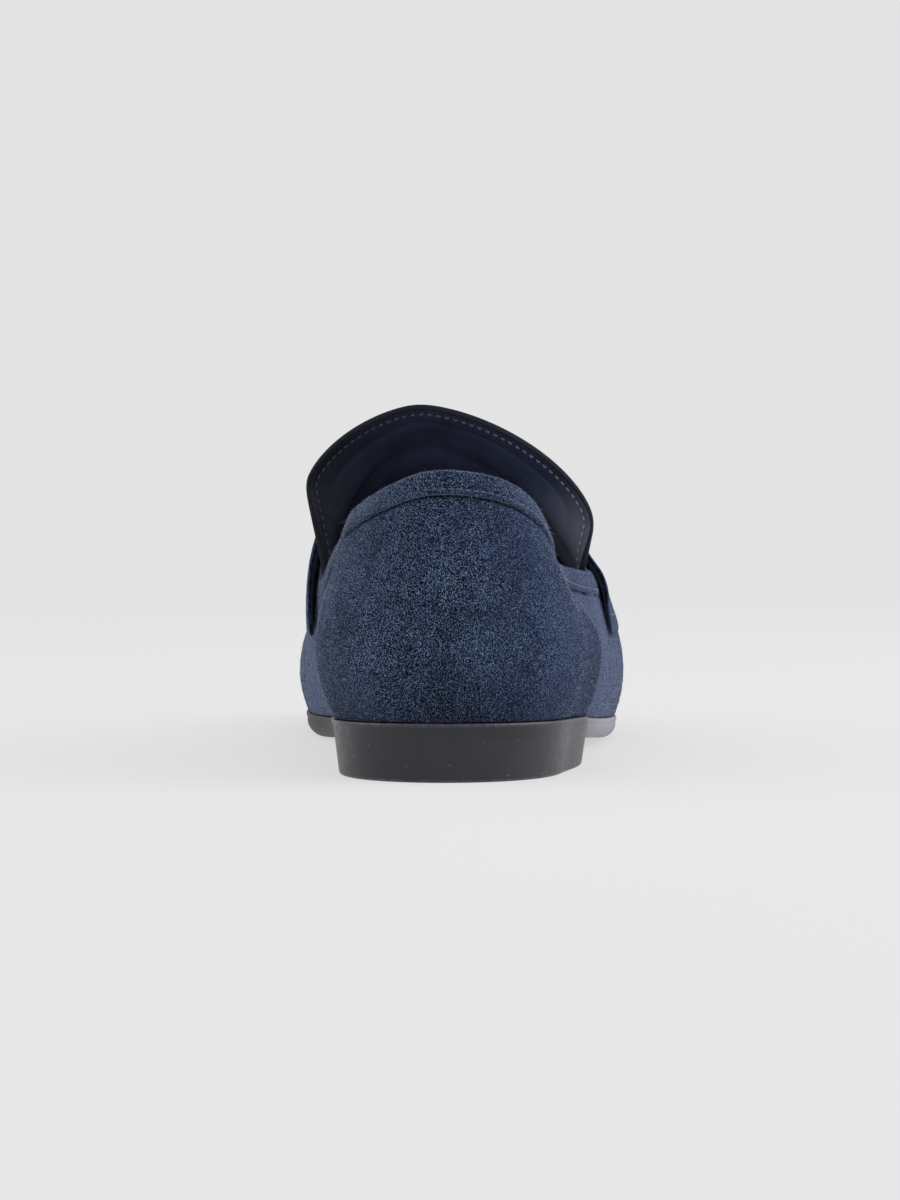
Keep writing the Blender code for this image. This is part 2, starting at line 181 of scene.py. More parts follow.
# Sections of the last: how far each side stands out over the sole edge and at what height,
# the crown of the arch, and how full the arch is (2 is an ellipse, less is more pointed)
LAST = Table((
    "station", "medial_out", "medial_height", "lateral_out", "lateral_height",
    "crown_x", "crown_height", "medial_full", "lateral_full",
), (
    (0, 3, 37, 3, 37, -2, 140, 2, 1.8),
    (45, 4.6, 35, 4.6, 34, 0.5, 130, 2, 1.8),
    (58, 4.3, 35, 4.5, 33.5, 0.4, 126, 2, 1.8),
    (70, 3.8, 35, 3.5, 33, 0, 122, 2, 1.8),
    (82, 3.9, 35.5, 1.6, 32, -2, 117, 2, 1.8),
    (95, 4.6, 36, 0.9, 31, -4, 111, 2, 1.8),
    (108, 5.7, 37, 1.4, 30, -5.6, 104.5, 2.05, 1.77),
    (118, 6.6, 38, 2.2, 29, -6.5, 100, 2.1, 1.75),
    (135, 7.4, 41, 2.5, 27, -6, 92, 2.1, 1.72),
    (152, 5.8, 35, 2.4, 25, -5, 83, 2.1, 1.8),
    (178, 3, 25, 2.2, 23, -3, 69, 2.1, 1.95),
    (205, 1.6, 19, 1.8, 21, -2, 57, 2.15, 2.05),
    (230, 1.3, 18, 1.4, 19, -2.5, 48.5, 2.2, 2.15),
    (248, 1.2, 19, 1.2, 19, -3.5, 43.5, 2.25, 2.25),
    (298, 0.8, 26, 0.8, 26, -6, 30, 2.25, 2.25),
))

# The topline of the quarters, from the back of the heel to the strap
TOPLINE = Table(("station", "medial", "medial_height", "lateral", "lateral_height"), (
    (6, 25, 84, 25, 84),
    (10, 25.3, 81.1, 25.1, 82.3),
    (15, 25.7, 78.5, 25.3, 79.8),
    (22, 26.3, 75.6, 25.6, 75.9),
    (30, 27.2, 72.9, 26.1, 71),
    (38, 28, 70.7, 26.6, 67.2),
    (60, 29.8, 66.4, 28, 61.4),
    (85, 33.4, 61, 31.6, 57),
    (104, 35.8, 55.4, 36.4, 54.6),
    (118, 37.6, 51, 40, 53.4),
))


def limit(share):
    return np.clip(share, 0, 1)


def smoothstep(low, high, value):
    t = limit((value - low) / (high - low))
    return t * t * (3 - 2 * t)


def bell(value, middle, width):
    """1 at the middle, falling off smoothly over a width."""
    return np.exp(-(((value - middle) / width) ** 2))


def unit(vectors):
    return vectors / np.maximum(np.linalg.norm(vectors, axis=-1, keepdims=True), 1e-12)


def raised(plan, height):
    """Plan points, each at its height."""
    return np.concatenate([plan, height[..., None]], -1)


def by_side(table, side, ending, station):
    """Value of the lateral or medial column, whichever side each rib is on."""
    lateral = table.at("lateral" + ending, station)
    medial = table.at("medial" + ending, station)
    return np.where(side > 0, lateral, medial)


def outline(table, side, station, back=0):
    """Plan points of an outline table, rounded off at the heel and at the toe."""
    heel = station < HEEL_CENTRE
    heel_share = limit((HEEL_CENTRE - station) / (HEEL_CENTRE - back))
    toe_share = limit((station - TOE_CENTRE) / (LENGTH - TOE_CENTRE))
    heel_open = (1 - heel_share**HEEL_ROUNDNESS) ** (1 / HEEL_ROUNDNESS)
    toe_open = (1 - toe_share**TOE_ROUNDNESS) ** (1 / TOE_ROUNDNESS)
    tip = np.where(heel, HEEL_TIP_X, TOE_TIP_X)
    edge = side * by_side(table, side, "", station)
    return np.stack([tip + (edge - tip) * np.where(heel, heel_open, toe_open), station], -1)


class Ribs:
    """Section lines of the last at many stations, on the lateral (1) or medial (-1) side."""

    def __init__(self, side, station):
        self.side, self.station = np.broadcast_arrays(np.asarray(side, float), np.asarray(station, float))
        middle = np.clip(self.station, HEEL_CENTRE, TOE_CENTRE)
        self.spine = np.stack([LAST.at("crown_x", middle), middle], -1)
        self.edge = outline(PLAN, self.side, self.station)
        self.out = unit(self.edge - self.spine)
        self.crown_height = LAST.at("crown_height", middle)
        self.full = by_side(LAST, self.side, "_full", self.station)
        self.feather = self.lifted(FEATHER_INSET, 0)
        self.feather[..., 2] = SOLE_TOP.at("height", self.feather[..., 1]) + GAP
        overhang = by_side(LAST, self.side, "_out", self.station)
        self.bulge = self.lifted(-overhang, by_side(LAST, self.side, "_height", self.station))
        self.topline = self.collar_points()
        self.top_angle = self.top_angles()

    def plan(self, inset):
        return self.edge - self.out * np.asarray(inset)[..., None]

    def lifted(self, inset, height):
        """Points in from the sole's edge by an inset, at a height."""
        shape = self.station.shape
        return raised(self.plan(np.broadcast_to(inset, shape)), np.broadcast_to(height, shape))

    def collar_points(self):
        share = np.minimum(self.station, HEEL_CENTRE) / HEEL_CENTRE
        rear = COLLAR_BACK + (HEEL_CENTRE - COLLAR_BACK) * share
        place = np.where(self.station > HEEL_CENTRE, np.minimum(self.station, COLLAR_END), rear)
        plan = outline(TOPLINE, self.side, place, COLLAR_BACK)
        return raised(plan, by_side(TOPLINE, self.side, "_height", place))

    def angle_at(self, height):
        low = self.bulge[..., 2]
        up = limit((height - low) / (self.crown_height - low))
        return np.arcsin(up ** (self.full / 2))

    def top_angles(self):
        """Angle on the arch where the wall ends: the collar, the throat or the crown."""
        collar = self.angle_at(self.topline[..., 2])
        run = limit((self.station - COLLAR_END) / (THROAT_CENTRE - COLLAR_END))
        return RIGHT_ANGLE - (RIGHT_ANGLE - collar) * np.sqrt(1 - run**THROAT_POWER)

    def foot(self, share):
        """Wall between the sole (0) and the widest line (1)."""
        share = np.asarray(share)[..., None]
        run = self.bulge - self.feather
        bow = 1 - (1 - share) ** 2
        return self.feather + np.concatenate([run[..., :2] * bow, run[..., 2:] * share], -1)

    def arch(self, angle):
        """Wall from the widest line (angle 0) over to the crown (a right angle)."""
        across = (limit(np.cos(angle)) ** (2 / self.full))[..., None]
        up = limit(np.sin(angle)) ** (2 / self.full)
        plan = self.spine + (self.bulge[..., :2] - self.spine) * across
        fall = TOE_SLOPE * (plan[..., 1] - self.spine[..., 1]) * (1 - across[..., 0])
        low = self.bulge[..., 2]
        return raised(plan, low + (self.crown_height - low) * up - fall)

    def quarter(self, share):
        """Wall from the widest line (0) up to the collar (1), leaning in at the top."""
        rise = (self.topline - self.bulge)[..., 2]
        leave = raised(self.out * 0, rise)
        upright = np.full(rise.shape, math.cos(COLLAR_LEAN))
        arrive = raised(-self.out * math.sin(COLLAR_LEAN), upright) * rise[..., None]
        return hermite(np.asarray(share)[..., None], self.bulge, leave, self.topline, arrive)

    def wall(self, share):
        """Outer face of the upper: -1 at the sole, 0 at the widest line, 1 at the top edge."""
        share = np.broadcast_to(np.asarray(share, float), self.station.shape)
        over = limit(share)
        blend = smoothstep(*QUARTER_BLEND, self.station)[..., None]
        top = (1 - blend) * self.quarter(over) + blend * self.arch(self.top_angle * over)
        return np.where(share[..., None] <= 0, self.foot(limit(1 + share)), top)


def wall_grid(side, station, shares):
    """Grid of the upper's outer face: a column for each rib, a row for each share."""
    side, share = np.meshgrid(side, shares, indexing="ij")
    station, share = np.meshgrid(station, shares, indexing="ij")
    return Ribs(side, station).wall(share)


def section(station, angle, offset):
    """Points off the arch: angle 0 is lateral, a right angle the crown, then the medial side."""
    station, angle, offset = np.broadcast_arrays(*(np.asarray(v, float) for v in (station, angle, offset)))
    step = 1e-3

    def surface(along, turn):
        side = np.where(turn <= RIGHT_ANGLE, 1, -1)
        ribs = Ribs(side, along)
        rise = np.where(side > 0, turn, math.pi - turn)
        low = ribs.foot(limit(1 + rise / RIGHT_ANGLE))
        return np.where(rise[..., None] < 0, low, ribs.arch(np.clip(rise, 0, RIGHT_ANGLE)))

    ahead = surface(station + step, angle) - surface(station - step, angle)
    over = surface(station, angle + step) - surface(station, angle - step)
    return surface(station, angle) + unit(np.cross(ahead, over)) * offset[..., None]


def end_angle(side, station, height):
    """Angle of the section where one side of it comes down to a height."""
    station = np.asarray(station, float)
    ribs = Ribs(np.full(station.shape, float(side)), station)
    low = ribs.feather[..., 2]
    wide = ribs.bulge[..., 2]
    below = ((height - low) / (wide - low) - 1) * RIGHT_ANGLE
    return np.where(height >= wide, ribs.angle_at(height), below)


# Place of the last in the frame
SOLE_LOW, SOLE_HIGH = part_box("outsole")
SAMPLE = np.linspace(HEEL_CENTRE, TOE_CENTRE, 400)
PLAN_MIDDLE = (PLAN.at("lateral", SAMPLE).max() - PLAN.at("medial", SAMPLE).max()) / 2
LAST_PLACE = np.array([(SOLE_LOW[0] + SOLE_HIGH[0]) / (2 * MM) - PLAN_MIDDLE, SOLE_LOW[1] / MM, 0])


def world(points):
    """Points along the last, in the frame's metres."""
    return (np.asarray(points) + LAST_PLACE) * MM


def rib_path(stations, fan):
    """Stations from the back of the heel along one side to the tip of the toe."""
    turn = np.arange(fan) / fan * RIGHT_ANGLE
    heel = HEEL_CENTRE * (1 - np.cos(turn))
    toe = LENGTH - (LENGTH - TOE_CENTRE) * (1 - np.cos(turn[::-1]))
    return np.concatenate([heel, stations, toe])


def perimeter(stations, fan):
    """Side and station of each rib all round the shoe: back, lateral side, toe, medial side."""
    path = rib_path(stations, fan)
    station = np.concatenate([path, path[-2:0:-1]])
    side = np.concatenate([np.ones(len(path)), -np.ones(len(path) - 2)])
    return side, station


def scene_object(name, data):
    piece = bpy.data.objects.new(name, data)
    bpy.context.scene.collection.objects.link(piece)
    return piece


def mesh_object(name, verts, faces, materials, weld=False, shade=None):
    """Smooth mesh piece from points along the last, with an optional darkness for each point."""
    mesh = bpy.data.meshes.new(name)
    mesh.from_pydata(world(np.reshape(verts, (-1, 3))).tolist(), [], faces)
    if shade is not None:
        mesh.attributes.new("shade", "FLOAT", "POINT").data.foreach_set("value", np.ravel(shade))
    if weld:
        bm = bmesh.new()
        bm.from_mesh(mesh)
        bmesh.ops.remove_doubles(bm, verts=bm.verts, dist=WELD * MM)
        bm.to_mesh(mesh)
        bm.free()
    mesh.shade_smooth()
    for finish in materials:
        mesh.materials.append(finish)
    return scene_object(name, mesh)


def grid_faces(columns, rows, wrap_columns, wrap_rows=False):
    """Quads of a grid whose vertices run row by row up each column."""
    across = np.arange(columns if wrap_columns else columns - 1)
    up = np.arange(rows if wrap_rows else rows - 1)
    i, j = np.meshgrid(across, up, indexing="ij")
    corners = ((0, 0), (1, 0), (1, 1), (0, 1))
    quads = np.stack([(i + a) % columns * rows + (j + b) % rows for a, b in corners], -1)
    return quads.reshape(-1, 4).tolist()


def tube_faces(columns, rows):
    """Faces of a tube whose rings are the columns of a grid, closed at both ends."""
    first = list(range(rows))[::-1]
    last = [(columns - 1) * rows + j for j in range(rows)]
    return grid_faces(columns, rows, False, True) + [first, last]


def grid_object(name, grid, wrap, materials, shade=None):
    """Sheet through a grid of points, welded where its columns meet."""
    faces = grid_faces(*grid.shape[:2], wrap)
    return mesh_object(name, grid, faces, materials, True, shade)


def tube_object(name, grid, materials):
    """Closed tube through the rings of a grid."""
    return mesh_object(name, grid, tube_faces(*grid.shape[:2]), materials)


def mesh_rows(items, field, width=3, kind=float):
    """One field of a mesh's points or triangles, a row for each."""
    values = np.empty(len(items) * width, dtype=kind)
    items.foreach_get(field, values)
    return values.reshape(-1, width)


def push(piece, distance):
    """Move a sheet's points along their normals, by a distance worked out from their places (mm)."""
    mesh = piece.data
    points = mesh_rows(mesh.vertices, "co")
    normals = mesh_rows(mesh.vertex_normals, "vector")
    points = points + normals * distance(points / MM - LAST_PLACE)[:, None] * MM
    mesh.vertices.foreach_set("co", points.ravel())
    mesh.update()


def thicken(piece, thickness):
    """Give a sheet a wall on its inner side."""
    shell = piece.modifiers.new("wall", "SOLIDIFY")
    shell.thickness = thickness * MM
    shell.offset = -1
    shell.use_even_offset = False
    return piece


# A stitch: rings along it, sides of a ring, and how thin its tips are
STITCH_RINGS = 7
STITCH_SIDES = 6
STITCH_TIP = 0.02


def stitches(name, path, normals, materials, pitch, length, radius, sink, margin=0):
    """Row of thread stitches lying on a surface: a rounded dash at each step along a path."""
    steps = np.linalg.norm(np.diff(path, axis=0), axis=1)
    run = np.concatenate([[0], np.cumsum(steps)])
    places = np.arange(margin, run[-1] - margin, pitch)

    def read(values):
        return np.stack([np.interp(places, run, column) for column in values.T], -1)

    at = read(path)
    along = unit(read(np.gradient(path, axis=0)))
    up = unit(read(normals))
    sideways = unit(np.cross(up, along))
    share = np.linspace(-1, 1, STITCH_RINGS)
    turn = np.linspace(0, math.tau, STITCH_SIDES, endpoint=False)
    rise = radius * ((1 - share**2) * (1 - sink) - sink)
    thick = radius * np.sqrt(np.clip(1 - share**4, STITCH_TIP, 1))
    centre = at[:, None] + along[:, None] * (share * length / 2)[:, None] + up[:, None] * rise[:, None]
    ring = sideways[:, None] * np.cos(turn)[:, None] + up[:, None] * np.sin(turn)[:, None]
    verts = centre[:, :, None] + ring[:, None] * thick[:, None, None]
    dash = tube_faces(STITCH_RINGS, STITCH_SIDES)
    count = STITCH_RINGS * STITCH_SIDES
    faces = [[k * count + v for v in face] for k in range(len(at)) for face in dash]
    return mesh_object(name, verts, faces, materials)


def ridden(piece, slot, *nodes):
    """Every piece moves with the one body; some stand for a solid."""
    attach(piece, "root")
    if nodes:
        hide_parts(*nodes)
    return piece


# Materials


def linear(red, green, blue):
    """Scene colour of an sRGB colour given in 0 to 255."""
    parts = [c / 255 for c in (red, green, blue)]
    return tuple(c / 12.92 if c <= 0.04045 else ((c + 0.055) / 1.055) ** 2.4 for c in parts)


PILE_GROUND = linear(4, 7, 16)
PILE_TIPS = linear(122, 146, 186)
PILE_CAST = linear(26, 36, 62)
PILE_RUBBED = linear(62, 80, 98)
PILE_LOW_DARK = linear(8, 11, 22)
PILE_OUTER = linear(26, 38, 84)
PILE_PAINTED_SHEEN = linear(58, 66, 100)
PILE_SHADED = linear(6, 8, 16)
LEATHER_SHADED = linear(10, 13, 22)
LEATHER_SHEEN = linear(103, 108, 120)
THREAD_SHADED = linear(20, 23, 36)
SOLE_DARK = linear(16, 17, 27)
SOLE_LIGHT = linear(25, 26, 38)
SOLE_SPECK = linear(132, 130, 138)
SOLE_EDGE_HIGHLIGHT = linear(104, 104, 116)
SOLE_SCUFF = linear(168, 168, 180)
SOLE_SHADED = linear(9, 9, 12)
SOLE_SIDE_HIGHLIGHT = linear(150, 149, 166)

# Soft patches along the last: centre and reach
PILE_RUBBED_PLACE = ((11, 0, 36), (15, 40, 20))
LINING_SHEEN_PLACE = ((37, 118, 60), (24, 30, 26))
SOLE_SCUFF_PLACES = (
    ((36, 24, 9), (10, 26, 13)),
    ((-34, 20, 11), (10, 24, 12)),
)
SOLE_SHADED_PLACE = ((-44, 180, 6), (26, 80, 20))
SOLE_SIDE_HIGHLIGHT_PLACE = ((56, 130, 10), (30, 90, 24))


class Look:
    """Short hand for a principled material and the nodes that feed it."""

    def __init__(self, name):
        self.material = bpy.data.materials.new(name)
        self.material.use_nodes = True
        self.tree = self.material.node_tree
        self.place = self.node("TexCoord", "Object", {})

    def feed(self, sockets, values):
        """Link each socket to a node's output, or set it to a number, vector or colour."""
        for name, value in values.items():
            if isinstance(value, bpy.types.NodeSocket):
                self.tree.links.new(value, sockets[name])
            elif sockets[name].type == "RGBA":
                sockets[name].default_value = (*value, 1)
            else:
                sockets[name].default_value = value

    def node(self, kind, output, inputs, **settings):
        """Output of a new node, with its settings made and its inputs fed."""
        node = self.tree.nodes.new("ShaderNode" + kind)
        for name, value in settings.items():
            setattr(node, name, value)
        self.feed(node.inputs, inputs)
        return node.outputs[output]

    def noise(self, scale, detail=3, roughness=0.6, stretch=(1, 1, 1)):
        """Noise whose features are about a metre over the scale."""
        place = self.node("Mapping", "Vector", {"Vector": self.place, "Scale": stretch})
        inputs = {"Vector": place, "Scale": scale, "Detail": detail, "Roughness": roughness}
        return self.node("TexNoise", "Fac", inputs)

    def shade(self):
        """Value stored on the points of a piece, none where it has no such values: painted shade on the
        suede, painted highlight along the sole's edges.
        """
        return self.node("Attribute", "Fac", {}, attribute_name="shade")

    def spots(self, scale):
        """Distance to the nearest of scattered points."""
        return self.node("TexVoronoi", "Distance", {"Vector": self.place, "Scale": scale})

    def ramp(self, value, low, high, out_low=0, out_high=1, smooth=False):
        """Run from one output to another while the value goes from low to high."""
        inputs = {"Value": value, "From Min": low, "From Max": high, "To Min": out_low, "To Max": out_high}
        run = "SMOOTHSTEP" if smooth else "LINEAR"
        return self.node("MapRange", "Result", inputs, interpolation_type=run)

    def fade(self, axis, low, high, out_low=0, out_high=1, smooth=False):
        """Ramp between two places along an axis of the frame (mm)."""
        place = self.node("SeparateXYZ", axis, {"Vector": self.place})
        return self.ramp(place, low * MM, high * MM, out_low, out_high, smooth)

    def patch(self, centre, reach):
        """Soft round patch: 1 at a place along the last, 0 beyond its reach (mm)."""
        inputs = {"Vector": self.place, "Location": world(centre), "Scale": [r * MM for r in reach]}
        place = self.node("Mapping", "Vector", inputs, vector_type="TEXTURE")
        near = self.node("TexGradient", "Fac", {"Vector": place}, gradient_type="SPHERICAL")
        return self.ramp(near, 0, 1, smooth=True)

    def math(self, operation, first, second):
        return self.node("Math", "Value", {0: first, 1: second}, operation=operation)

    def mix(self, factor, first, second):
        """Colour between two colours or colour outputs."""
        return self.node("Mix", 2, {"Factor": factor, 6: first, 7: second}, data_type="RGBA")

    def tint(self, base, colour, mask, amount):
        """Base with a colour laid over it by an amount, where a mask is 1."""
        return self.mix(self.math("MULTIPLY", mask, amount), base, colour)

    def bump(self, height, depth, strength, below=None):
        """Relief with a depth in mm, over another one when it is given."""
        inputs = {"Height": height, "Distance": depth * MM, "Strength": strength}
        if below is not None:
            inputs["Normal"] = below
        return self.node("Bump", "Normal", inputs)

    def finish(self, **sockets):
        """Material whose principled sockets are fed, with their spaces written as underscores."""
        named = {name.replace("_", " "): value for name, value in sockets.items()}
        self.feed(self.tree.nodes["Principled BSDF"].inputs, named)
        return self.material


def suede_material(name, sheen):
    """Navy split suede: fine pale fibre ends over a dark ground, paler where the nap is seen along it, partly
    by painted sheen towards the front.
    """
    look = Look(name)
    fine = look.noise(3900, 1, stretch=(1, 1, 0.75))
    clump = look.noise(1700, 2)
    broad = look.noise(60, 5, 0.7)
    speck = look.ramp(fine, 0.555, 0.605)
    speck = look.math("MULTIPLY", speck, look.ramp(clump, 0.3, 0.7, 0.75, 1.2))
    speck = look.math("MULTIPLY", speck, look.ramp(broad, 0.3, 0.7, 0.35, 1.5))
    pile = look.mix(speck, PILE_GROUND, PILE_TIPS)
    pile = look.tint(pile, PILE_CAST, look.ramp(look.noise(48), 0.35, 0.65), 0.3)
    pile = look.tint(pile, PILE_RUBBED, look.patch(*PILE_RUBBED_PLACE), 0.1)
    # darker towards the bottom of the wall
    pile = look.mix(look.fade(2, 16, 34, 0.5, 0), pile, PILE_LOW_DARK)
    pile = look.tint(pile, PILE_OUTER, look.fade(0, -4, 30), 0.28)
    # painted sheen: paler towards the front, where the nap is seen along it
    pile = look.tint(pile, PILE_PAINTED_SHEEN, look.fade(1, -62, -44, smooth=True), 0.2)
    # painted shade where a piece's points carry shade values
    pile = look.mix(look.shade(), pile, PILE_SHADED)
    normal = look.bump(fine, 0.3, 0.9, look.bump(clump, 0.25, 0.5))
    return look.finish(
        Base_Color=pile, Normal=normal, Roughness=1, Specular_IOR_Level=0.03,
        Sheen_Weight=sheen, Sheen_Roughness=0.34, Sheen_Tint=(0.56, 0.66, 1),
    )


def fibre_material(name, dark, pale, least):
    """Fibres of the nap, from dark to pale along the hide; a smaller least value makes more of them pale."""
    look = Look(name)
    tone = look.ramp(look.noise(3600, 1, 0.5), least, 0.66)
    return look.finish(
        Base_Color=look.mix(tone, dark, pale), Roughness=1, Specular_IOR_Level=0.05,
        Sheen_Weight=0.1, Sheen_Tint=(0.6, 0.66, 0.9),
    )


def leather_material(name, dark, light, roughness, sheen_place=None):
    """Smooth leather with a fine grain, with painted shade on the inner side and a painted sheen at one
    place.
    """
    look = Look(name)
    colour = look.mix(look.ramp(look.noise(70, 4), 0.35, 0.7), dark, light)
    # painted shade towards the inner side
    colour = look.mix(look.fade(0, -42, -12, 0.85, 0), colour, LEATHER_SHADED)
    if sheen_place:
        # painted sheen at one place
        colour = look.tint(colour, LEATHER_SHEEN, look.patch(*sheen_place), 0.8)
    gloss = look.ramp(look.noise(240), 0.3, 0.7, roughness - 0.07, roughness + 0.1)
    normal = look.bump(look.noise(160, 3, 0.5), 0.35, 0.35)
    normal = look.bump(look.spots(1500), 0.08, 0.5, normal)
    return look.finish(Base_Color=colour, Roughness=gloss, Normal=normal, Specular_IOR_Level=0.2)


def sole_material():
    """Satin charcoal moulding with pale specks and faint scuffs, painted highlights along its edges and
    lateral side, and painted shade on its medial forefoot.
    """
    look = Look("charcoal_sole")
    colour = look.mix(look.ramp(look.noise(55, 4), 0.3, 0.75), SOLE_DARK, SOLE_LIGHT)
    speck = look.ramp(look.spots(420), 0.06, 0.09, 1, 0)
    chance = look.ramp(look.noise(260, 0, 0), 0.46, 0.52)
    colour = look.tint(colour, SOLE_SPECK, speck, chance)
    broken = look.ramp(look.noise(500, 3, 0.7), 0.35, 0.6)
    # painted highlight along the lip and lower corner, broken up by noise
    colour = look.tint(colour, SOLE_EDGE_HIGHLIGHT, look.shade(), broken)
    scratch = look.ramp(look.noise(1500, 3, 0.7, (1, 1, 0.25)), 0.52, 0.66)
    for place in SOLE_SCUFF_PLACES:
        near = look.math("MULTIPLY", look.patch(*place), 0.5)
        colour = look.tint(colour, SOLE_SCUFF, scratch, near)
    shaded = look.patch(*SOLE_SHADED_PLACE)
    colour = look.tint(colour, SOLE_SHADED, shaded, 0.6)
    # painted highlight on the lateral side of the sole
    colour = look.tint(colour, SOLE_SIDE_HIGHLIGHT, look.patch(*SOLE_SIDE_HIGHLIGHT_PLACE), 0.9)
    gloss = look.ramp(look.noise(600, 4, 0.7), 0.3, 0.7, 0.36, 0.5)
    gloss = look.math("ADD", gloss, look.math("MULTIPLY", shaded, 0.2))
    return look.finish(
        Base_Color=colour, Roughness=gloss, Normal=look.bump(look.noise(1400), 0.06, 0.5),
        Specular_IOR_Level=0.5, Coat_Weight=0.08, Coat_Roughness=0.4,
    )


def thread_material(name, colour, pale):
    """Twisted sewing thread, with painted shade towards the inner side."""
    look = Look(name)
    twist = look.noise(3200, 1, 0.5)
    mixed = look.mix(look.ramp(twist, 0.35, 0.65), colour, pale)
    mixed = look.mix(look.fade(0, -34, 30, 0.92, 0), mixed, THREAD_SHADED)
    normal = look.bump(twist, 0.08, 0.6)
    return look.finish(Base_Color=mixed, Normal=normal, Roughness=0.7, Sheen_Weight=0.2)


# Pieces

# Rows round the sole's lip: inset from the edge, drop below the top, and how much painted highlight the row
# takes
LIP_ROWS = (
    (LIP_DEPTH, LIP_HEIGHT + LIP_DEPTH, 0),
    (LIP_DEPTH * 0.4, LIP_HEIGHT + LIP_DEPTH * 0.5, 0),
    (0.05, LIP_HEIGHT - 0.1, 0.05),
    (0, LIP_HEIGHT * 0.5, 0.2),
    (0.08, 0.2, 0.35),
    (LIP_FILLET, 0, 0.1),
)
CORNER_HIGHLIGHT = 0.25
ARCH_START = HEEL_BREAST + BREAST_SLOPE


def sole_under(station):
    height = np.maximum(SOLE_UNDER.at("height", station), 0)
    return np.where(station <= HEEL_BREAST, 0, height)


def make_sole(finish):
    """Moulded unit: flat heel, breast, arch, flat tread, toe spring and a rounded edge."""
    heel_stations = np.linspace(HEEL_CENTRE, HEEL_BREAST, 14)
    front_stations = np.linspace(ARCH_START + 3, TOE_CENTRE, 64)
    ribs = Ribs(*perimeter(np.concatenate([heel_stations, [ARCH_START], front_stations]), 24))
    heel = 1 - smoothstep(HEEL_BREAST, ARCH_START, ribs.station)
    top = SOLE_TOP.at("height", ribs.station)
    low = sole_under(ribs.station)
    flat_side = np.minimum(SOLE_CORNER, top - low - LIP_HEIGHT - LEAST_EDGE)
    corner = heel * HEEL_CORNER + (1 - heel) * flat_side
    taper = heel * HEEL_TAPER + (1 - heel) * SOLE_TAPER
    rows = [
        ribs.lifted(taper + corner * (1 - math.sin(turn)), low + corner * (1 - math.cos(turn)))
        for turn in np.linspace(0, RIGHT_ANGLE, 7)
    ]
    neck = top - LIP_HEIGHT - LIP_DEPTH
    for share in (0.25, 0.5, 0.75):
        height = (low + corner) + (neck - low - corner) * share
        rows.append(ribs.lifted(taper + (LIP_DEPTH - taper) * share, height))
    rows += [ribs.lifted(inset, top - drop) for inset, drop, _ in LIP_ROWS]
    under = []
    over = []
    for share in (0, 0.25, 0.5, 0.75):
        below = ribs.spine + (rows[0][:, :2] - ribs.spine) * share
        above = ribs.spine + (rows[-1][:, :2] - ribs.spine) * share
        depth = np.where(heel == 1, low, sole_under(below[:, 1]))
        under.append(raised(below, depth))
        over.append(raised(above, SOLE_TOP.at("height", above[:, 1])))
    grid = np.stack(under + rows + over[::-1], 1)
    # painted highlight on the lip and corner rows
    edge_highlight = np.zeros(grid.shape[:2])
    edge_highlight[:, len(under) + 2:len(under) + 6] = CORNER_HIGHLIGHT
    lip_end = len(under) + len(rows)
    edge_highlight[:, lip_end - len(LIP_ROWS):lip_end] = [row[-1] for row in LIP_ROWS]
    return ridden(grid_object("sole_unit", grid, True, [finish], edge_highlight), "sole", "outsole")


# Section of the footbed: share of its half width, share of its thickness
FOOTBED_ROWS = (
    (0, 0), (0.5, 0), (0.97, 0), (1, 0.25), (1, 0.8), (0.99, 0.95),
    (0.965, 1), (0.93, 1), (0.85, 0.97), (0.6, 0.92), (0.3, 0.9), (0, 0.9),
)


def make_footbed(finish):
    """Leather-covered footbed with a softly rounded rim."""
    ribs = Ribs(*perimeter(np.linspace(HEEL_CENTRE, TOE_CENTRE, 54), 18))
    edge = ribs.plan(np.full(ribs.station.shape, FEATHER_INSET + UPPER_WALL + INSOLE_CLEARANCE))
    rows = []
    for share, height in FOOTBED_ROWS:
        plan = ribs.spine + (edge - ribs.spine) * share
        rows.append(raised(plan, SOLE_TOP.at("height", plan[:, 1]) + GAP + INSOLE_THICKNESS * height))
    return ridden(grid_object("footbed", np.stack(rows, 1), True, [finish]), "footbed", "insole")


# Soft folds of the wall: seen from behind (across is x) or from the side (across is y),
# the side, across and height where the fold starts and where it stops, its width and its depth
CREASES = (
    ("back", 0, (8, 60), (14, 26), 9, -0.5),
    ("back", 0, (-14, 58), (-20, 30), 8, 0.35),
    ("back", 0, (-2, 24), (20, 22), 5, 0.3),
    ("side", 1, (84, 50), (94, 18), 8, -0.9),
    ("side", 1, (108, 46), (116, 16), 7, 0.8),
    ("side", -1, (82, 58), (92, 20), 8, -0.8),
    ("side", -1, (106, 52), (112, 18), 7, 0.6),
    ("side", 1, (186, 50), (176, 24), 5, -0.7),
    ("side", 1, (196, 46), (189, 20), 5, 0.5),
    ("side", -1, (190, 48), (184, 22), 5, -0.6),
    ("side", -1, (201, 44), (197, 20), 5, 0.45),
)
BACK_FADE = (45, 15)
SIDE_FADE = (4, 14)


def crease_relief(points):
    """How far the suede stands out or sinks in at points along the last."""
    relief = np.zeros(len(points))
    for view, side, start, stop, width, depth in CREASES:
        behind = view == "back"
        seen = points[:, 0] if behind else points[:, 1]
        run = np.subtract(stop, start)
        place = np.stack([seen, points[:, 2]], -1) - start
        t = limit(place @ run / (run @ run))
        away = np.linalg.norm(place - t[:, None] * run, axis=1)
        near = smoothstep(*BACK_FADE, points[:, 1]) if behind else smoothstep(*SIDE_FADE, side * points[:, 0])
        relief += depth * near * bell(away, 0, width)
    return relief


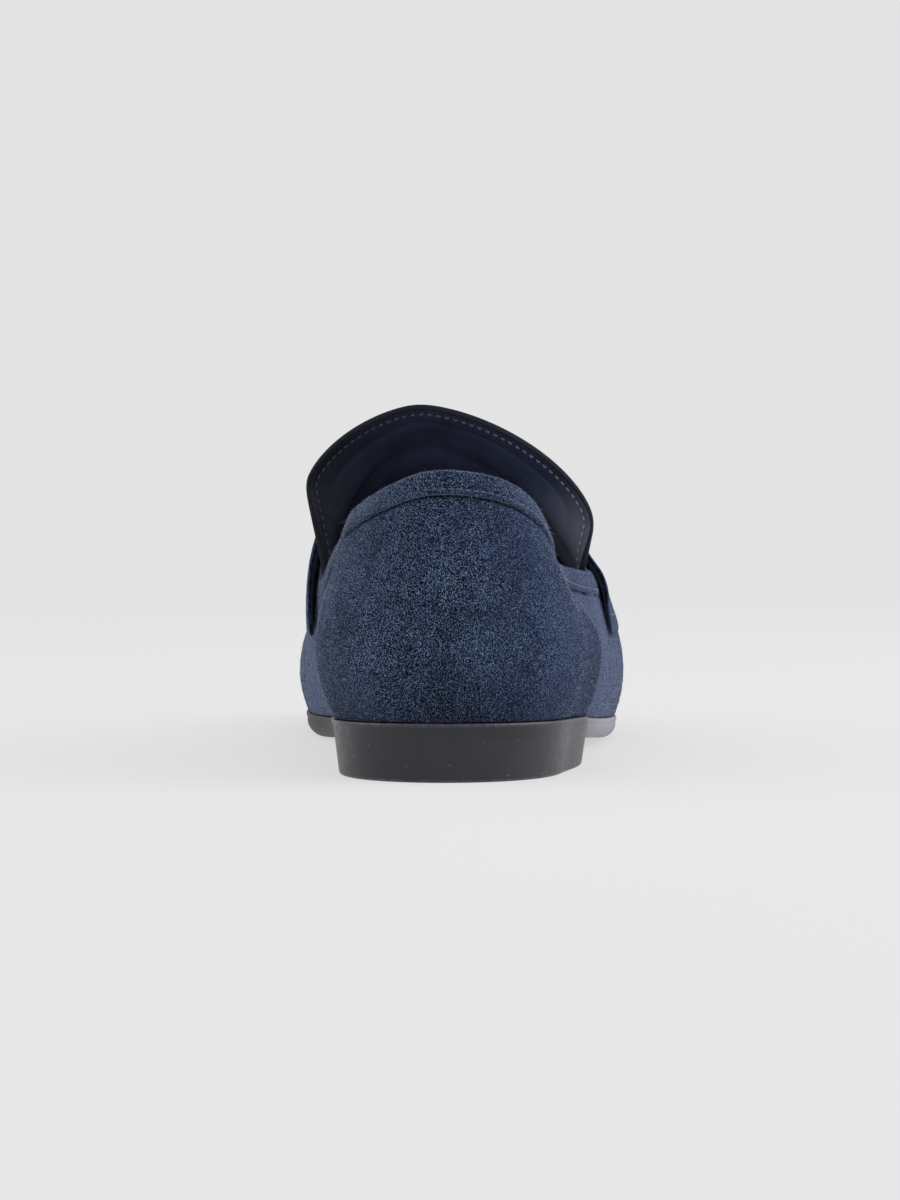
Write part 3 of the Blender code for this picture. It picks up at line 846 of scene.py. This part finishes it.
# The upper's two shells, and its ribs along one side
SUEDE_WALL = 1.2
SHELL_GAP = 0.05
THROAT_RUN = (1 - np.linspace(1, 0, 30)[1:] ** 2) ** (1 / THROAT_POWER)
SIDE_STATIONS = np.concatenate([
    np.linspace(HEEL_CENTRE, COLLAR_END, 56),
    COLLAR_END + (THROAT_CENTRE - COLLAR_END) * THROAT_RUN,
    np.linspace(THROAT_CENTRE, TOE_CENTRE, 60)[1:],
])

# Sheen of the nap in zones from the heel forwards, each to the next station
ZONE_STATIONS = (82, 88, 94)
ZONE_SHEENS = (0.15, 0.35, 0.55, 0.8)

# Painted shade on the sides of the counter, where fewer nap fibres grow
SIDE_STATION = 62
SIDE_REACH = 18
SIDE_SHADE = 0.42

# Groove of the seam under the collar's band, with painted shade in it
SEAM_DROP = 6.2
SEAM_WIDTH = 0.45
SEAM_DEPTH = 0.5
SEAM_SHADE = 0.8
SEAM_END = THROAT_CENTRE - 12


def grid_normals(grid):
    """Unit normals of a grid of points, by its neighbours."""
    return unit(np.cross(np.gradient(grid, axis=0), np.gradient(grid, axis=1)))


def edge_distance(grid):
    """Distance of each point from the last row, measured along its own column."""
    steps = np.linalg.norm(np.diff(grid, axis=1), axis=2)[:, ::-1]
    run = np.concatenate([np.zeros((len(grid), 1)), np.cumsum(steps, axis=1)], 1)
    return run[:, ::-1]


def set_zones(shell):
    """Give each face of the upper the suede of its zone."""
    faces = shell.data.polygons
    station = mesh_rows(faces, "center")[:, 1] / MM - LAST_PLACE[1]
    faces.foreach_set("material_index", np.searchsorted(ZONE_STATIONS, station))


def make_upper(suede, lining):
    """Suede shell over a thinner lining shell, both with the same folds."""
    side, station = perimeter(SIDE_STATIONS, 34)
    shares = np.concatenate([
        np.linspace(-1, 0, 18), np.linspace(0, 0.75, 24)[1:], np.linspace(0.75, 1, 34)[1:],
    ])
    grid = wall_grid(side, station, shares)
    fade = smoothstep(SEAM_END, COLLAR_END, station)[:, None]
    groove = bell(edge_distance(grid), SEAM_DROP, SEAM_WIDTH) * fade
    grid = grid - grid_normals(grid) * (groove * SEAM_DEPTH)[..., None]
    # painted shade on the sides of the counter
    band_suede_and_side_shade = SIDE_SHADE * bell(station, SIDE_STATION, SIDE_REACH)[:, None]
    shell = grid_object("upper_suede", grid, True, suede, np.maximum(groove * SEAM_SHADE, band_suede_and_side_shade))
    set_zones(shell)
    push(shell, crease_relief)
    ridden(thicken(shell, SUEDE_WALL), "suede", "upper")
    coarse = np.concatenate([np.linspace(-1, 0, 10), np.linspace(0, 1, 24)[1:]])
    inner = grid_object("upper_lining", wall_grid(side[::2], station[::2], coarse), True, [lining])
    push(inner, lambda points: crease_relief(points) - SUEDE_WALL - SHELL_GAP)
    ridden(thicken(inner, UPPER_WALL - SUEDE_WALL - 2 * SHELL_GAP), "lining", "upper")
    return shell


# The collar's band: drop and stand of its outer rows, its roll over the edge, depth and drop inside
BAND_OUTER = (
    (6, 0), (5.95, 0.5), (5.75, 0.85), (5.3, 1), (4.9, 0.72),
    (4.5, 0.72), (4, 1), (3, 1.05), (2, 1), (1, 0.95),
)
BAND_ROLL_WIDTH = 1.75
BAND_ROLL_SHIFT = 0.85
BAND_ROLL_HEIGHT = 1.15
BAND_INNER = ((2.6, 1.5), (2.6, 3), (2.6, 4.4), (1.5, 4.8), (0.6, 5.2))
BAND_STITCH_DROP = 4.7
BAND_STITCH_STAND = 0.8


def make_binding(suede, thread):
    """Folded strip over the collar's edge, from the medial strap round the heel, sewn down below it."""
    half = np.concatenate([rib_path([], 40)[:40], np.linspace(HEEL_CENTRE, BINDING_END, 90)])
    station = np.concatenate([half[:0:-1], half])
    side = np.concatenate([-np.ones(len(half) - 1), np.ones(len(half))])
    ribs = Ribs(side, station)
    path = ribs.wall(1)
    along = unit(np.gradient(path, axis=0))
    out = unit(np.cross(along, unit(path - ribs.wall(0.95))))
    up = unit(np.cross(out, along))
    length = np.linalg.norm(path - ribs.wall(0.5), axis=1) * 2
    rows = [ribs.wall(1 - drop / length) + out * stand for drop, stand in BAND_OUTER]
    for turn in np.linspace(0, math.pi, 13):
        over = BAND_ROLL_WIDTH * math.cos(turn) - BAND_ROLL_SHIFT
        rows.append(path + out * over + up * BAND_ROLL_HEIGHT * math.sin(turn))
    rows += [path - out * depth - up * drop for depth, drop in BAND_INNER]
    band = ridden(tube_object("collar_band", np.stack(rows, 1), [suede]), "suede", "collar_binding")
    seam = ribs.wall(1 - BAND_STITCH_DROP / length) + out * BAND_STITCH_STAND
    row = stitches("collar_stitches", seam, out, [thread], 2.3, 1.9, radius=0.27, sink=0.1, margin=3)
    ridden(row, "suede")
    return band


# The tongue's edge under the strap, its lining, and the seam and fold that run along its edge
TONGUE_TUCK = 0.25
TONGUE_TUCKS = {"lateral": (40, 121, 48.5), "medial": (-38, 121, 51)}
TONGUE_LINING = 0.7
TONGUE_LINING_STAND = 0.75
TONGUE_EDGE_DEPTH = 1
TONGUE_EDGE_STAND = 0.45
TONGUE_SEAM = {"away": 2.5, "width": 0.7, "depth": 0.28}
TONGUE_FOLD = {"away": 8, "width": 1.6, "depth": 0.4}
TONGUE_STITCH_SINK = 0.2


def tongue_outline(a):
    """Edge of the tongue, from the medial notch (-1) over its dome to the lateral one (1).

    Beyond either notch the edge is tucked in under the strap.
    """
    def of_side(points):
        return np.where((a > 0)[:, None], points["lateral"], points["medial"])

    turn = np.minimum(np.abs(a) / TONGUE_DOME_SHARE, 1) * RIGHT_ANGLE
    shoulder = of_side(TONGUE_SHOULDERS)
    notch = of_side(TONGUE_NOTCHES)
    out = np.sin(turn) ** (2 / TONGUE_DOME)
    up = limit(np.cos(turn)) ** (2 / TONGUE_DOME)
    drop = limit((np.abs(a) - TONGUE_DOME_SHARE) / (1 - TONGUE_DOME_SHARE))
    x = TONGUE_PEAK[0] + (shoulder[:, 0] - TONGUE_PEAK[0]) * out + (notch - shoulder)[:, 0] * drop
    z = shoulder[:, 1] + (TONGUE_PEAK[1] - shoulder[:, 1]) * up + (notch - shoulder)[:, 1] * drop
    y = TONGUE_TIP + (TONGUE_NOTCH - TONGUE_TIP) * (x / TONGUE_HALF_WIDTH) ** 2
    under = limit((np.abs(a) - 1) / TONGUE_TUCK)[:, None]
    return np.stack([x, y, z], -1) * (1 - under) + of_side(TONGUE_TUCKS) * under


def tongue_edge(a):
    """Free edge of the tongue: its outline with the shoulders rounded."""
    steps = np.linspace(-TONGUE_ROUNDING, TONGUE_ROUNDING, 9)
    return np.mean([tongue_outline(a + step) for step in steps], axis=0)


def tongue_bed(a, station):
    """Tongue where it lies on the instep: flush under the strap, deeper under the vamp."""
    depth = TONGUE_SINK + TONGUE_DROP * smoothstep(TONGUE_WAIST, TONGUE_UNDER, station)
    fall = smoothstep(TONGUE_UNDER, TONGUE_ROOT, station) * TONGUE_FALL
    first = end_angle(1, station, TONGUE_NOTCHES["lateral"][1] + TONGUE_CLEAR - fall)
    last = math.pi - end_angle(-1, station, TONGUE_NOTCHES["medial"][1] + TONGUE_CLEAR - fall)
    return section(station, first + (last - first) * (1 - a) / 2, -depth)


def tongue_grid(across, bed_rows, free_rows):
    """Outer face of the tongue: a column for each place across it, from the root to the free edge."""
    a = np.linspace(1 + TONGUE_TUCK, -1 - TONGUE_TUCK, across)
    waist_station = TONGUE_WAIST + TONGUE_SIDE_SHIFT * a * a
    stations = np.linspace(TONGUE_ROOT, waist_station, bed_rows)
    rows = [tongue_bed(a, station) for station in stations]
    waist = rows[-1]
    free = tongue_edge(a)
    span = np.linalg.norm(free - waist, axis=1, keepdims=True)
    leave = unit(waist - tongue_bed(a, waist_station + 1)) * span
    rise = np.linspace(0, 1, free_rows)[1:]
    rows += [hermite(t, waist, leave, free, free - waist) for t in rise]
    return np.stack(rows, 1)


def row_at(grid, away, distance):
    """Points of a grid at one distance from its last row."""
    return np.array([
        [np.interp(distance, run[::-1], line[::-1, k]) for k in range(3)] for run, line in zip(away, grid)
    ])


def make_tongue(suede, lining, edge_finish, thread):
    """Suede face, smooth lining sewn to it near the edge, and the painted edge between them."""
    grid = tongue_grid(150, 36, 70)
    normals = grid_normals(grid)
    away = edge_distance(grid)
    face = grid_object("tongue_suede", grid, False, [suede])
    ridden(thicken(face, TONGUE_THICKNESS / 2), "suede", "tongue")
    sunk = sum(line["depth"] * bell(away, line["away"], line["width"]) for line in (TONGUE_SEAM, TONGUE_FOLD))
    inside = grid - normals * (TONGUE_THICKNESS - TONGUE_LINING_STAND - sunk)[..., None]
    lined = grid_object("tongue_lining", inside, False, [lining])
    ridden(thicken(lined, TONGUE_LINING), "lining", "tongue")
    through = normals[:, -1]
    rim = grid[:, -1] - through * TONGUE_THICKNESS / 2
    level = unit(np.cross(unit(np.gradient(rim, axis=0)), through))
    rings = [
        rim + through * TONGUE_EDGE_DEPTH * math.cos(turn) + level * TONGUE_EDGE_STAND * math.sin(turn)
        for turn in np.linspace(0, math.tau, 14, endpoint=False)
    ]
    ridden(tube_object("tongue_edge", np.stack(rings, 1), [edge_finish]), "lining", "tongue")
    seam = row_at(grid, away, TONGUE_SEAM["away"])
    up = normals[:, -6]
    back = seam - up * (TONGUE_THICKNESS - TONGUE_STITCH_SINK)
    for name, path, out, slot in (
        ("tongue_stitches", back, -up, "lining"), ("tongue_face_stitches", seam, up, "suede"),
    ):
        row = stitches(name, path, out, [thread], 2.6, 1.6, radius=0.33, sink=0.2, margin=2)
        ridden(row, slot)
    return face


# The strap: power of its rounded edges, width of the painted shade along them, and how far its front sinks in
STRAP_ROUND = 14
STRAP_EDGE = 1.8
STRAP_SUNK = 0.9
STRAP_INNER_SHADE = 0.9


def strap_point(across, step, offset):
    """Strap surface: across from the lateral end (0) to the medial end (1), step rear to front."""
    crown = np.sin(across * math.pi) ** 1.5
    rear = STRAP_REAR + (STRAP_REAR_CROWN - STRAP_REAR) * crown
    front = STRAP_FRONT + (STRAP_FRONT_CROWN - STRAP_FRONT) * crown
    station = rear + (front - rear) * step
    first = end_angle(1, station, STRAP_END_HEIGHT)
    last = math.pi - end_angle(-1, station, STRAP_END_HEIGHT)
    lift = GAP + STRAP_LIFT.at("height", across) * (1 - step) ** 2 - STRAP_SUNK * step**3
    return section(station, first + (last - first) * across, lift + offset)


def make_strap(suede, thread):
    """Saddle strap with rounded cut edges, sewn down at its ends."""
    across, step = np.meshgrid(np.linspace(0, 1, 160), np.linspace(1, 0, 44), indexing="ij")
    from_middle = np.abs(2 * step - 1)
    swell = np.sqrt(limit(1 - from_middle**STRAP_ROUND))
    swell = swell * np.sqrt(limit(1 - np.abs(2 * across - 1) ** (STRAP_ROUND * 3)))
    outer = strap_point(across, step, STRAP_THICKNESS * (0.5 + 0.5 * swell))
    inner = strap_point(across, step, STRAP_THICKNESS * (0.5 - 0.5 * swell))
    faces = grid_faces(*across.shape, False)
    faces += [[across.size + v for v in quad[::-1]] for quad in faces]
    # Darker cut edges, their darkness partly painted shade and stronger at the lateral end; painted shade
    # over the lateral side and deep on the underside
    rim = bell((1 - from_middle) * (STRAP_FRONT - STRAP_REAR) / 2, 0, STRAP_EDGE)
    shade = np.maximum(rim * (0.5 - 0.4 * across), 0.2 * (1 - across))
    shade = np.stack([shade, np.full(rim.shape, STRAP_INNER_SHADE)])
    strap = ridden(mesh_object("strap", [outer, inner], faces, [suede], True, shade), "suede", "saddle_strap")
    steps = np.linspace(0.1, 0.9, 60)
    for name, share in (("strap_lateral_tack", 0.03), ("strap_medial_tack", 0.97)):
        place = np.full(len(steps), share)
        seam = strap_point(place, steps, STRAP_THICKNESS)
        up = unit(strap_point(place, steps, STRAP_THICKNESS + 1) - seam)
        ridden(stitches(name, seam, up, [thread], 3, 2.2, radius=0.22, sink=0.6), "suede")
    return strap


# Coats of loose fibres: name, piece they grow on, count, seed, finish, zone (two stations and the height
# below which it is bare), scale of the length, and least and most rise for one step along the hide
ALL = (-1000, 1000, -1000)
LYING = (0.12, 0.5)
NAP_COATS = (
    ("nap_rear", "upper", 62000, 11, "fibre", (-1000, 95, 14), 0.8, LYING),
    ("nap_middle", "upper", 38000, 12, "fibre", (95, 185, 8), 1, LYING),
    ("nap_front", "upper", 42000, 16, "fibre", (185, 1000, 7), 1, LYING),
    ("nap_band", "band", 22000, 13, "fibre", ALL, 1.2, LYING),
    ("fuzz_rear", "upper", 14000, 17, "loose", (-1000, 80, 15), 0.5, (3, 6)),
    ("fuzz_band", "band", 5000, 18, "loose", ALL, 0.6, (1.5, 4)),
    ("stray_hairs", "band", 140, 19, "loose", (-1000, 45, -1000), 2.6, (0.5, 3)),
    ("nap_strap", "strap", 9000, 14, "fibre", ALL, 0.6, LYING),
    ("nap_tongue", "tongue", 9000, 15, "fibre", ALL, 1, LYING),
)

# A fibre: the way it is brushed and how much that varies, its usual length, thickness, root and droop
COMB = np.array([0, -0.25, -1])
COMB_SCATTER = 0.75
FIBRE_LENGTH_SHAPE = 5
FIBRE_LENGTH_SCALE = 0.11
FIBRE_THICKNESS = (0.03, 0.065)
FIBRE_ROOT = 0.05
FIBRE_DROOP = np.array([0, 0, 0.12])


def make_nap(name, piece, count, seed, finish, zone, reach, stand):
    """Loose fibres standing off a suede face: thin three-sided spikes, brushed down and back."""
    rng = np.random.default_rng(seed)
    mesh = piece.data
    mesh.calc_loop_triangles()
    corners = mesh_rows(mesh.loop_triangles, "vertices", kind=int)
    points = mesh_rows(mesh.vertices, "co") / MM - LAST_PLACE
    normals = mesh_rows(mesh.vertex_normals, "vector")
    rear, front, height = zone
    _, station, high = points[corners].mean(axis=1).T
    corners = corners[(station > rear) & (station < front) & (high > height)]
    edges = points[corners[:, 1:]] - points[corners[:, :1]]
    area = np.linalg.norm(np.cross(edges[:, 0], edges[:, 1]), axis=1)
    if "shade" in mesh.attributes:
        shade = mesh_rows(mesh.attributes["shade"].data, "value", 1)[:, 0]
        area = area * (1 - shade[corners].mean(axis=1))
    chosen = rng.choice(len(corners), count, p=area / area.sum())
    weights = rng.dirichlet((1, 1, 1), count)[..., None]
    root = (points[corners[chosen]] * weights).sum(axis=1)
    normal = unit((normals[corners[chosen]] * weights).sum(axis=1))
    comb = COMB + rng.normal(0, COMB_SCATTER, (count, 3))
    lie = unit(comb - normal * (comb * normal).sum(axis=1, keepdims=True))
    grow = unit(lie + normal * rng.uniform(*stand, (count, 1)))
    length = rng.gamma(FIBRE_LENGTH_SHAPE, FIBRE_LENGTH_SCALE * reach, (count, 1))
    thick = rng.uniform(*FIBRE_THICKNESS, (count, 1))
    wide = unit(np.cross(grow, normal))
    deep = np.cross(wide, grow)
    start = root - normal * FIBRE_ROOT
    turns = np.linspace(0, math.tau, 3, endpoint=False)
    ring = [start + (wide * math.cos(t) + deep * math.sin(t)) * thick for t in turns]
    tip = root + grow * length - FIBRE_DROOP * length**2
    verts = np.stack([*ring, tip], 1)
    base = np.arange(count)[:, None] * 4
    faces = np.concatenate([base + np.array(f) for f in ((0, 1, 3), (1, 2, 3), (2, 0, 3))])
    ridden(mesh_object(name, verts, faces.tolist(), [finish]), "suede")


def make_pieces():
    suede = [suede_material(f"navy_suede_{i}", sheen) for i, sheen in enumerate(ZONE_SHEENS)]
    band_suede_and_side_shade = suede_material("brushed_suede", 0.6)
    matt = suede_material("matt_suede", 0.45)
    fibres = {
        "fibre": fibre_material("suede_fibre", linear(16, 25, 50), linear(196, 214, 246), 0.52),
        # Loose fibres are pale: partly the paler fibre ends of the suede, partly painted rim light along the
        # silhouettes
        "loose": fibre_material("loose_fibre", linear(96, 110, 146), linear(196, 212, 240), 0.4),
    }
    lining_tones = linear(43, 49, 71), linear(56, 63, 88)
    lining = leather_material("lining_leather", *lining_tones, 0.6, LINING_SHEEN_PLACE)
    edge_paint = leather_material("edge_paint", linear(13, 16, 28), linear(20, 24, 40), 0.7)
    sock = leather_material("sock_leather", linear(20, 22, 31), linear(32, 35, 46), 0.6)
    grey_thread = thread_material("grey_thread", linear(96, 99, 114), linear(140, 143, 156))
    navy_thread = thread_material("navy_thread", linear(56, 72, 112), linear(100, 120, 162))
    make_sole(sole_material())
    make_footbed(sock)
    brushable = {
        "upper": make_upper(suede, lining),
        "band": make_binding(band_suede_and_side_shade, navy_thread),
        "tongue": make_tongue(suede[-1], lining, edge_paint, grey_thread),
        "strap": make_strap(matt, navy_thread),
    }
    for name, on, count, seed, finish, *growth in NAP_COATS:
        make_nap(name, brushable[on], count, seed, fibres[finish], *growth)


# Studio

FOCAL_PIXELS = 3690
IMAGE_HEIGHT = 1200
SENSOR = 36
CAMERA_POINT = (0, -998, 81.2)
CAMERA_PITCH = math.radians(1.8)


def make_camera():
    """View from behind and a little above the topline, as in the photograph."""
    data = bpy.data.cameras.new("camera")
    data.sensor_width = SENSOR
    data.lens = FOCAL_PIXELS / IMAGE_HEIGHT * SENSOR
    camera = scene_object("camera", data)
    camera.location = world(CAMERA_POINT)
    camera.rotation_euler = (RIGHT_ANGLE - CAMERA_PITCH, 0, 0)
    bpy.context.scene.camera = camera


# The paper sweep, in millimetres, with its own even glow
PAPER_HALF = 4000
PAPER_FRONT = -3500
PAPER_BEND_START = 1800
PAPER_BEND = 900
PAPER_TOP = 5000
PAPER_GREYS = ((0.22, 0.22, 0.22), (0.225, 0.225, 0.225))
PAPER_GLOW = 0.57
WHITE = (1, 1, 1)


def make_backdrop():
    """Pale sweep: a floor that curves up into a wall far behind the shoe."""
    bend = [
        (PAPER_BEND_START + PAPER_BEND * math.sin(t), PAPER_BEND * (1 - math.cos(t)))
        for t in np.linspace(0, RIGHT_ANGLE, 24)
    ]
    profile = [(PAPER_FRONT, 0), *bend, (PAPER_BEND_START + PAPER_BEND, PAPER_TOP)]
    grid = np.array([[(x, y, z) for y, z in profile] for x in np.linspace(-PAPER_HALF, PAPER_HALF, 9)])
    look = Look("studio_paper")
    colour = look.mix(look.ramp(look.noise(3, 2, 0.5), 0.3, 0.7), *PAPER_GREYS)
    paper = look.finish(
        Base_Color=colour, Roughness=0.9, Specular_IOR_Level=0,
        Emission_Color=WHITE, Emission_Strength=PAPER_GLOW,
    )
    sweep_piece = grid_object("studio_sweep", grid, False, [paper])


# Two soft boxes beside the shoe, in millimetres and watts, and the light of the room
BOX_SIZE = (1400, 1000)
BOXES = (
    ("key_right", (1300, 100, 700), (10, 60, 40), 10.5),
    ("fill_left", (-1300, 100, 700), (0, 60, 40), 3.4),
)
ROOM_LIGHT = 0.85


def make_lights():
    """Even tent of light with a stronger box to the right."""
    room = bpy.data.worlds.new("studio")
    room.use_nodes = True
    background = room.node_tree.nodes["Background"].inputs
    background["Color"].default_value = (*WHITE, 1)
    background["Strength"].default_value = ROOM_LIGHT
    bpy.context.scene.world = room
    for name, place, target, power in BOXES:
        data = bpy.data.lights.new(name, "AREA")
        data.shape = "RECTANGLE"
        data.size, data.size_y = (side * MM for side in BOX_SIZE)
        data.energy = power
        lamp = scene_object(name, data)
        lamp.location = world(place)
        heading = Vector(world(target) - world(place))
        lamp.rotation_euler = heading.to_track_quat("-Z", "Y").to_euler()


make_camera()
make_backdrop()
make_lights()
make_pieces()
bpy.context.scene.view_settings.view_transform = "Standard"
